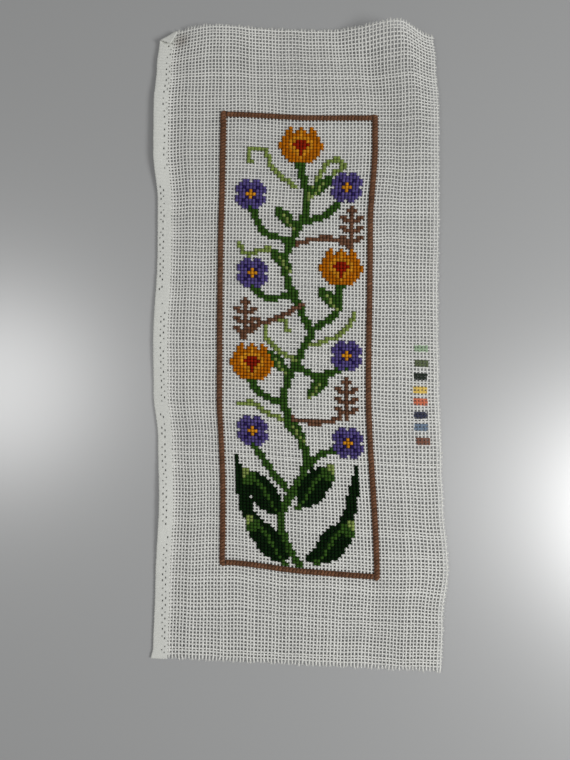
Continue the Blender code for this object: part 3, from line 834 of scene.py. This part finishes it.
def selvedgeBand():
    cellsAcross, cellsUp = band["cellsAcross"], cloth["rows"] * band["cellsPerRow"]
    low, high = -band["beyond"], cloth["length"] + band["beyond"]
    innerEdge = cloth["selvedge"] + band["innerEdge"]
    wide, tall = innerEdge / cellsAcross, (high - low) / cellsUp
    isOpen = bandGaps(cellsUp, tall, wide)
    gridUp, gridAcross = low + np.arange(cellsUp + 1) * tall, np.arange(cellsAcross + 1) * wide
    up, across = (grid.ravel() for grid in np.meshgrid(gridUp, gridAcross, indexing="ij"))
    rib = np.cos(2 * math.pi * up / rowPitch)
    wander = np.where(across > innerEdge - wide / 2, band["innerWander"], band["wander"])
    shifted = across + wander * softNoise(across, up, band["wanderSize"])
    shifted -= np.where(across < wide / 2, band["scallop"] * rib, 0.0)
    shifted -= band["tip"] * ease(1 - up / band["tipReach"]) * ease(1 - across / band["tipReach"])
    half = band["halfThick"] * (1 - band["edgeThin"] * np.exp(-across / band["edgeRun"]))
    relief = band["rib"] * rib + band["cord"] * np.cos(math.pi * across / wide)
    relief += band["uneven"] * softNoise(across, up, band["unevenSize"])
    points = [layRaised(shifted, up, half + relief), layRaised(shifted, up, -half)]

    quads, isWall = bandFaces(isOpen)
    # the corners around a mark, which get painted shade
    near = np.pad(isOpen, 1)
    shadedRim = near[:-1, :-1] | near[:-1, 1:] | near[1:, :-1] | near[1:, 1:]
    flat = np.stack([np.tile(across, 2), np.tile(up, 2)], axis=1)
    corners, under = flat[quads], quads >= len(across)
    faceStart, faceWide = band["bakeFace"]
    bakeU = faceStart + faceWide * corners[..., 0] / cloth["selvedge"]
    faceU = np.where(under, 1 - faceStart - bakeU, bakeU)
    bakeU = np.where(isWall, band["bakeWall"] + faceStart * under, faceU)
    bakeV = (corners[..., 1] - low) / (high - low)
    return {
        "points": np.concatenate(points),
        "quads": quads,
        "bake": np.stack([bakeU, bakeV], axis=-1).reshape(-1, 2),
        "thread": (corners * [1000 / band["twistWide"], 1000]).reshape(-1, 2),
        "flat": flat,
        "tone": np.tile(np.where(shadedRim.ravel(), band["markShade"], 0.0), 2),
    }


selvedge = makePiece("selvedgeBand", selvedgeBand(), makeThreadMaterial("selvedgeCotton", {
    **cottonLook, "plies": 1.0, "turns": 0.8, "bump": 0.7, "bumpDepth": 0.00014, "colour": band["colour"],
    "drift": 0.22, "driftScale": 650.0, "creaseShadeDepth": 0.07, "inkAndShadow": False,
}), ["canvas"])

# The flowers, leaves and twigs of the panel, one letter for each yarn
rosette = """
..PP.PP..
.PPPPPPP.
PPVPPPVPP
PPPVYVPPP
.PPYYYPP.
PPPVYVPPP
PPVPPPVPP
.PPPPPPP.
..PP.PP..
"""
tulip = """
...O..O..O...
..OO.OYO.OO..
..OOOOYOOOO..
.OOOYYYYYOOO.
.OOYYRRRYYOO.
OOOYRRRRRYOOO
OOOYYRRRYYOOO
.OOOYYRYYOOO.
.OOOOYRYOOOO.
..OOOOYOOOO..
...OOOOOOO...
.....GGG.....
"""
broadLeaf = """
..........LL.
.......DGGLL.
.....DDDGGGL.
....DDDGGGGG.
...DDDGGDGGG.
..DDDGGDDDD..
..DDDGDDDDD..
.DDDGGDDDD...
.DDDGDDDD....
.DDGDDDDD....
.DDGDDDD.....
.DGDDDD......
.GDDD........
GG...........
"""
smallLeaf = """
....GG
..GGGG
.GGLGG
.GLGG.
GGLG..
GLG...
L.....
"""
sprig = """
...B...
..BBB..
...B...
BB.B.BB
.BBBBB.
...B...
BB.B.BB
.BBBBB.
...B...
BB.B.BB
.BBBBB.
...B...
...B...
"""

# Lines worked along a smooth curve, in holes of the panel: kind, yarn, width, blade, points of each
strokes = (
    ("stem", "G", 2.2, False, (
        ((21, 0), (16, 14), (24, 32), (18, 50), (26, 70)),
        ((26, 70), (18, 90), (24, 108), (21.5, 121)),
    )),
    ("stem", "G", 1.9, False, (
        ((23, 29), (29, 34), (35, 35)), ((18.5, 22), (12, 30), (8, 37)), ((18, 48), (11, 51), (8, 55)),
        ((21, 60), (28, 57), (36, 60)), ((26, 71), (33, 76), (34, 84)), ((21, 82), (13, 80), (8, 84)),
        ((20, 98), (12, 100), (8, 108)), ((23.5, 104), (30, 106), (35, 112)),
    )),
    ("tendril", "L", 1.2, False, (
        ((22, 61), (14, 66), (13, 72), (18, 74), (19, 70)), ((25, 66), (31, 68), (36, 71), (39, 77)),
        ((24, 110), (29, 121), (33, 123), (34, 120), (31, 119)),
        ((21, 114), (14, 119), (11, 125), (7, 125), (7, 121)),
        ((20, 43), (13, 45), (9, 48), (4, 47)), ((19, 92), (13, 95), (7, 93), (4, 97)),
    )),
    ("sprig", "B", 1.3, False, (
        ((24, 79), (16, 74), (8, 71), (5.5, 68)), ((21, 97), (30, 99), (37, 97)),
        ((20, 44), (28, 43), (35, 45)),
    )),
    ("stem", "D", 4.0, True, (((17, 3), (7, 14), (3, 32)), ((24, 3), (34, 12), (39, 31)))),
)
# A blade is narrow at its tips and swells between: width at a tip, and where along the swell it starts
bladeTip, bladeStart = 0.2, 0.12
strokeSteps = 24

# Charted motifs: kind, chart, whether it is mirrored, and the hole at the lower left of each
motifs = (
    ("stem", broadLeaf, False, ((25, 1), (20, 17))),
    ("stem", broadLeaf, True, ((5, 0), (4, 14))),
    ("stem", smallLeaf, False, ((25, 50), (25, 111))),
    ("stem", smallLeaf, True, ((18, 37), (13, 57), (28, 77), (14, 88), (15, 101))),
    ("sprig", sprig, False, ((33, 44), (3, 67), (34, 96))),
    ("tulip", tulip, False, ((15, 121), (28, 84), (2, 54))),
    ("rosette", rosette, False, ((32, 33), (4, 35), (32, 59), (4, 83), (31, 110), (3, 107))),
)


def smoothPath(points):
    ends = [Vector(point) for point in (points[0], *points, points[-1])]
    path = []
    for before, start, end, after in zip(ends, ends[1:], ends[2:], ends[3:]):
        straight = end - before
        bend = 2 * before - 5 * start + 4 * end - after
        twist = 3 * start - before - 3 * end + after
        for step in range(strokeSteps):
            t = step / strokeSteps
            path.append((2 * start + straight * t + bend * t**2 + twist * t**3) / 2)
    return path


def strokeCells(width, blade, points):
    covered = set()
    path = smoothPath(points)
    for place, (x, y) in enumerate(path):
        reach = width / 2
        if blade:
            along = bladeStart + (1 - bladeStart) * place / len(path)
            reach *= bladeTip + (1 - bladeTip) * math.sin(math.pi * along)
        for column in range(math.floor(x - reach), math.ceil(x + reach)):
            for row in range(math.floor(y - reach), math.ceil(y + reach)):
                near = math.hypot(column + 0.5 - x, row + 0.5 - y) <= reach
                if near and 0 <= column < panel["columns"] and 0 <= row < panel["rows"]:
                    covered.add((column, row))
    return covered


def chartPanel():
    # the kind of stitching and the yarn in each worked hole, by the same rules as the part's source
    worked = {}
    for kind, yarn, width, blade, lines in strokes:
        for points in lines:
            worked.update(dict.fromkeys(strokeCells(width, blade, points), (kind, yarn)))
    for kind, chart, mirrored, places in motifs:
        for left, bottom in places:
            for row, line in enumerate(reversed(chart.split())):
                for column, mark in enumerate(line[::-1] if mirrored else line):
                    if mark != ".":
                        worked[left + column, bottom + row] = (kind, mark)
    changed = True
    while changed:  # two of one kind that meet only at a corner get a third beside them
        changed = False
        for (column, row), (kind, yarn) in list(worked.items()):
            for side in (-1, 1):
                beside, above = (column + side, row), (column, row + 1)
                kinds = [worked.get(cell, (None,))[0] for cell in ((column + side, row + 1), beside, above)]
                free = [cell for cell in (above, beside) if cell not in worked]
                if kinds[0] == kind and kind not in kinds[1:] and free:
                    worked[free[0]] = (kind, yarn)
                    changed = True
    return worked


def legRings(*rows):
    # a leg's rings, given up to its middle and mirrored: place, arch, swell of its width, and painted shade
    # in its tone
    half = np.array(rows)
    rest = half[::-1] if half[-1, 0] < 0.5 else half[-2::-1]
    rings = np.concatenate([half, rest * [-1, 1, 1, 1] + [1, 0, 0, 0]]).T
    return dict(zip(("place", "arch", "swell", "shadeDip"), rings))


# A cross of two plump wool legs over one crossing of the mesh, each from hole to hole. A leg gets painted
# shade where it dives into a hole
stitch = {
    **legRings((0.0, -0.35, 0.42, -7.0), (0.13, 0.45, 0.72, -3.5), (0.31, 0.88, 0.95, -0.6), (0.5, 1, 1, 0)),
    "underHeight": 0.00088,
    "overHeight": 0.0014,
    "flowerExtra": 0.00012,
    "halfWide": 0.00098,
    "halfThick": 0.00044,
    # how much the legs differ: in width and thickness, in height as a share of that, and in their bow
    "uneven": 0.07,
    "unevenHeight": 0.4,
    "bow": 0.03,
    "backPlace": np.array([0.04, 0.35, 0.65, 0.96]),
    "backHeight": np.array([-0.00013, -0.00043, -0.00043, -0.00013]),
    "backWide": 0.00062,
    "backThick": 0.00016,
}
# The under leg needs fewer rings, for its middle is hidden
underStitch = {
    **stitch,
    **legRings((0.0, -0.35, 0.42, -7.0), (0.13, 0.45, 0.72, -3.5), (0.33, 0.92, 0.97, -0.5)),
}


def runHoles(starts, stops, place):
    # points along straight runs between holes of the mesh
    return starts[:, None] + (stops - starts)[:, None] * place[None, :, None]


def legs(starts, stops, height, shape):
    # one leg from each start to its stop
    count = len(starts)
    aside = (stops - starts)[:, ::-1] * [-1, 1]
    aside = aside / np.linalg.norm(aside, axis=1, keepdims=True)
    bow = draw.normal(0, shape["bow"], count)[:, None] * np.sin(math.pi * shape["place"])
    holes = runHoles(starts, stops, shape["place"]) + aside[:, None] * bow[..., None]
    uneven = 1 + shape["uneven"] * draw.standard_normal((count, 2))
    raised = height * (1 + shape["unevenHeight"] * (uneven[:, :1] - 1)) * shape["arch"]
    halfWide = shape["halfWide"] * uneven[:, :1] * shape["swell"]
    halfThick = shape["halfThick"] * uneven[:, 1:] * shape["swell"] ** 0.5
    # random tone for each leg, plus painted shade toward its holes
    tone = draw.standard_normal(count)[:, None] + shape["shadeDip"]
    return tubes(*fromHoles(holes[..., 0], holes[..., 1]), raised, halfWide, halfThick, tone)


def backLegs(starts, stops):
    holes = runHoles(starts, stops, stitch["backPlace"])
    sizes = ("backHeight", "backWide", "backThick")
    sizes = [np.broadcast_to(stitch[key], holes.shape[:2]) for key in sizes]
    tone = draw.standard_normal(len(starts))
    return tubes(*fromHoles(holes[..., 0], holes[..., 1]), *sizes, tone, sides=4)


def crossStitches(cells, extra):
    # the crosses over a list of panel cells: under legs, over legs and the short runs on the back
    corner = np.array(cells, float) + [panel["left"], panel["bottom"]]
    under = legs(corner + [0, 1], corner + [1, 0], stitch["underHeight"] + extra, underStitch)
    over = legs(corner, corner + [1, 1], stitch["overHeight"] + extra, stitch)
    return joined([under, over, backLegs(corner + [1, 1], corner + [1, 0])])


# The border is of wide crosses over two threads, side by side
borderStitch = {
    **stitch,
    **legRings(
        (0.0, -0.3, 0.45, -4.0), (0.07, 0.5, 0.7, -2.5), (0.2, 0.85, 0.92, -0.8), (0.36, 0.97, 1, 0),
        (0.5, 1, 1, 0),
    ),
    "halfWide": 0.001,
    "halfThick": 0.00046,
    "extraHeight": 0.0001,
    # the pull of the yarn draws the outer threads in, so the band is narrower than its two columns
    "inset": 0.25,
    "cornerRound": 0.34,
}
borderUnder = {
    **borderStitch,
    **legRings((0.0, -0.3, 0.45, -4.0), (0.08, 0.5, 0.72, -2.3), (0.3, 0.93, 0.97, -0.4), (0.5, 1, 1, 0)),
}
# Along both sides of the border the crosses' ends close up into a plain edge
borderEdge = {
    **borderStitch,
    **legRings((0.0, 0.7, 0.88, -2.5), (0.25, 0.81, 0.97, -0.9), (0.5, 0.86, 1, 0)),
    "halfWide": 0.00046,
    "halfThick": 0.0004,
    "height": 0.00096,
    "inset": 0.37,
}


def borderStitches():
    border = panel["border"]
    left, bottom = panel["left"] - border, panel["bottom"] - border
    upright = [(column, row) for column in (left, panelRight) for row in range(bottom, panelTop + border)]
    level = [(column, row) for row in (bottom, panelTop) for column in range(panel["left"], panelRight)]

    def ends(asides, along):
        # each leg's start and stop, by its places across the band and along it
        leg = np.array([list(zip(aside, along)) for aside in asides])
        bands = ((upright, leg), (level, leg[..., ::-1]))
        placed = [np.array(cells)[:, None, None] + way for cells, way in bands]
        return np.concatenate([points.reshape(-1, 2, 2) for points in placed])

    def rounded(points):
        # the corners of the border are drawn in
        fromLow = points - [left, bottom]
        fromHigh = [panelRight + border, panelTop + border] - points
        corner = np.clip(1 - np.minimum(fromLow, fromHigh), 0, 1).prod(axis=1, keepdims=True)
        return points + borderStitch["cornerRound"] * corner * np.where(fromLow < fromHigh, 1, -1)

    def run(asides, along, height, shape):
        starts, stops = ends(asides, along).swapaxes(0, 1)
        return legs(rounded(starts), rounded(stops), height + shape["extraHeight"], shape)

    over = [(borderStitch["inset"], border - borderStitch["inset"])]
    edge = [(side, side) for side in (borderEdge["inset"], border - borderEdge["inset"])]
    stops = ends(over, (0, 1))[:, 1]
    return joined([
        run(over, (1, 0), stitch["underHeight"], borderUnder),
        run(over, (0, 1), stitch["overHeight"], borderStitch),
        run(edge, (0, 1), borderEdge["height"], borderEdge),
        backLegs(stops, stops - [0, 1]),
    ])


woolLook = {
    "roughness": 0.92, "sheen": 0.02, "gloss": 0.05, "plies": 2.0, "turns": 0.42, "fuzz": 0.5,
    "drift": 0.35, "driftScale": 90.0, "stitchToneAndShade": 0.1, "creaseShadeDepth": 0.35,
    "bump": 0.7, "bumpDepth": 0.0002,
}
# One piece for each yarn: letter, name, slot, colour, its nodes' first words, and whether it is a flower's
yarns = (
    ("G", "green", "green_yarn", linear(52, 86, 28), ("stem", "tulip"), False),
    ("D", "darkGreen", "dark_green_yarn", linear(9, 33, 6), ("stem",), False),
    ("L", "lightGreen", "light_green_yarn", linear(132, 151, 79), ("tendril", "stem"), False),
    ("B", "brown", "brown_yarn", linear(114, 80, 60), ("sprig",), False),
    ("P", "purple", "purple_yarn", linear(90, 79, 136), ("rosette",), True),
    ("V", "violet", "violet_yarn", linear(44, 32, 88), ("rosette",), True),
    ("O", "orange", "orange_yarn", linear(186, 108, 8), ("tulip",), True),
    ("Y", "gold", "gold_yarn", linear(210, 142, 30), ("tulip", "rosette"), True),
    ("R", "red", "red_yarn", linear(146, 32, 6), ("tulip",), True),
)
worked = chartPanel()
for letter, name, slotName, colour, kinds, isFlower in yarns:
    cells = sorted(cell for cell, (kind, yarn) in worked.items() if yarn == letter)
    nodes = [node for node in sorted(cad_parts) if node.split("_")[0] in kinds]
    material = makeThreadMaterial(name + "Wool", {**woolLook, "colour": colour})
    shape = crossStitches(cells, stitch["flowerExtra"] if isFlower else 0.0)
    makePiece(name + "Stitches", shape, material, nodes)
print(len(worked), "panel stitches")
borderMaterial = makeThreadMaterial("borderWool", {**woolLook, "colour": linear(112, 78, 57)})
frameBand = makePiece(
    "borderStitches", borderStitches(), borderMaterial, ["border_stitching"],
)

# The table, soft light and the camera
stageLook = {
    "table": {
        "Base Color": (*linear(162, 163, 163), 1.0),
        "Roughness": 0.34,
        "Specular IOR Level": 1.0,
        "IOR": 1.8,
    },
    "tableHalf": 2.0,
    "tableDown": 0.00005,
    "worldLight": 0.25,
    # place, size, power
    "lights": (
        ((-0.72, 0.0, 1.0), 0.42, 2.55),
        ((0.64, -0.25, 1.0), 0.54, 0.9),
        ((0.98, -0.31, 0.82), 0.5, 11.8),
    ),
    "cameraPlace": (-0.01005, -0.04885, 0.4296),
    "cameraAim": (-0.01005, -0.02935, 0.0),
    "lens": 27.05,
    "sensor": 36.0,
    "nearest": 0.01,
}


def addAimed(name, data, place, aim):
    item = addObject(name, data)
    item.location = place
    item.rotation_euler = (Vector(aim) - Vector(place)).to_track_quat("-Z", "Y").to_euler()
    return item


def makeTable():
    data = bpy.data.meshes.new("table")
    half, low = stageLook["tableHalf"], -stageLook["tableDown"]
    corners = [(-half, -half, low), (half, -half, low), (half, half, low), (-half, half, low)]
    data.from_pydata(corners, [], [(0, 1, 2, 3)])
    material, tree, shader = newMaterial("paleTable")
    feed(tree, shader, stageLook["table"])
    data.materials.append(material)
    addObject("table", data)


def makeLights():
    for number, (place, size, power) in enumerate(stageLook["lights"], 1):
        light = bpy.data.lights.new("softLight%d" % number, "AREA")
        light.shape = "DISK"
        light.size = size
        light.energy = power
        addAimed(light.name, light, place, (0.0, 0.0, 0.0))
    world = bpy.data.worlds.new("room")
    world.use_nodes = True
    background = world.node_tree.nodes["Background"]
    feed(world.node_tree, background, {"Color": (1.0, 1.0, 1.0, 1.0), "Strength": stageLook["worldLight"]})
    bpy.context.scene.world = world


def makeCamera():
    lens = bpy.data.cameras.new("overhead")
    lens.lens = stageLook["lens"]
    lens.sensor_width = stageLook["sensor"]
    lens.clip_start = stageLook["nearest"]
    camera = addAimed("overhead", lens, stageLook["cameraPlace"], stageLook["cameraAim"])
    bpy.context.scene.camera = camera


makeTable()
makeLights()
makeCamera()
bpy.context.scene.view_settings.view_transform = "Standard"
print("table, lights and camera ready")
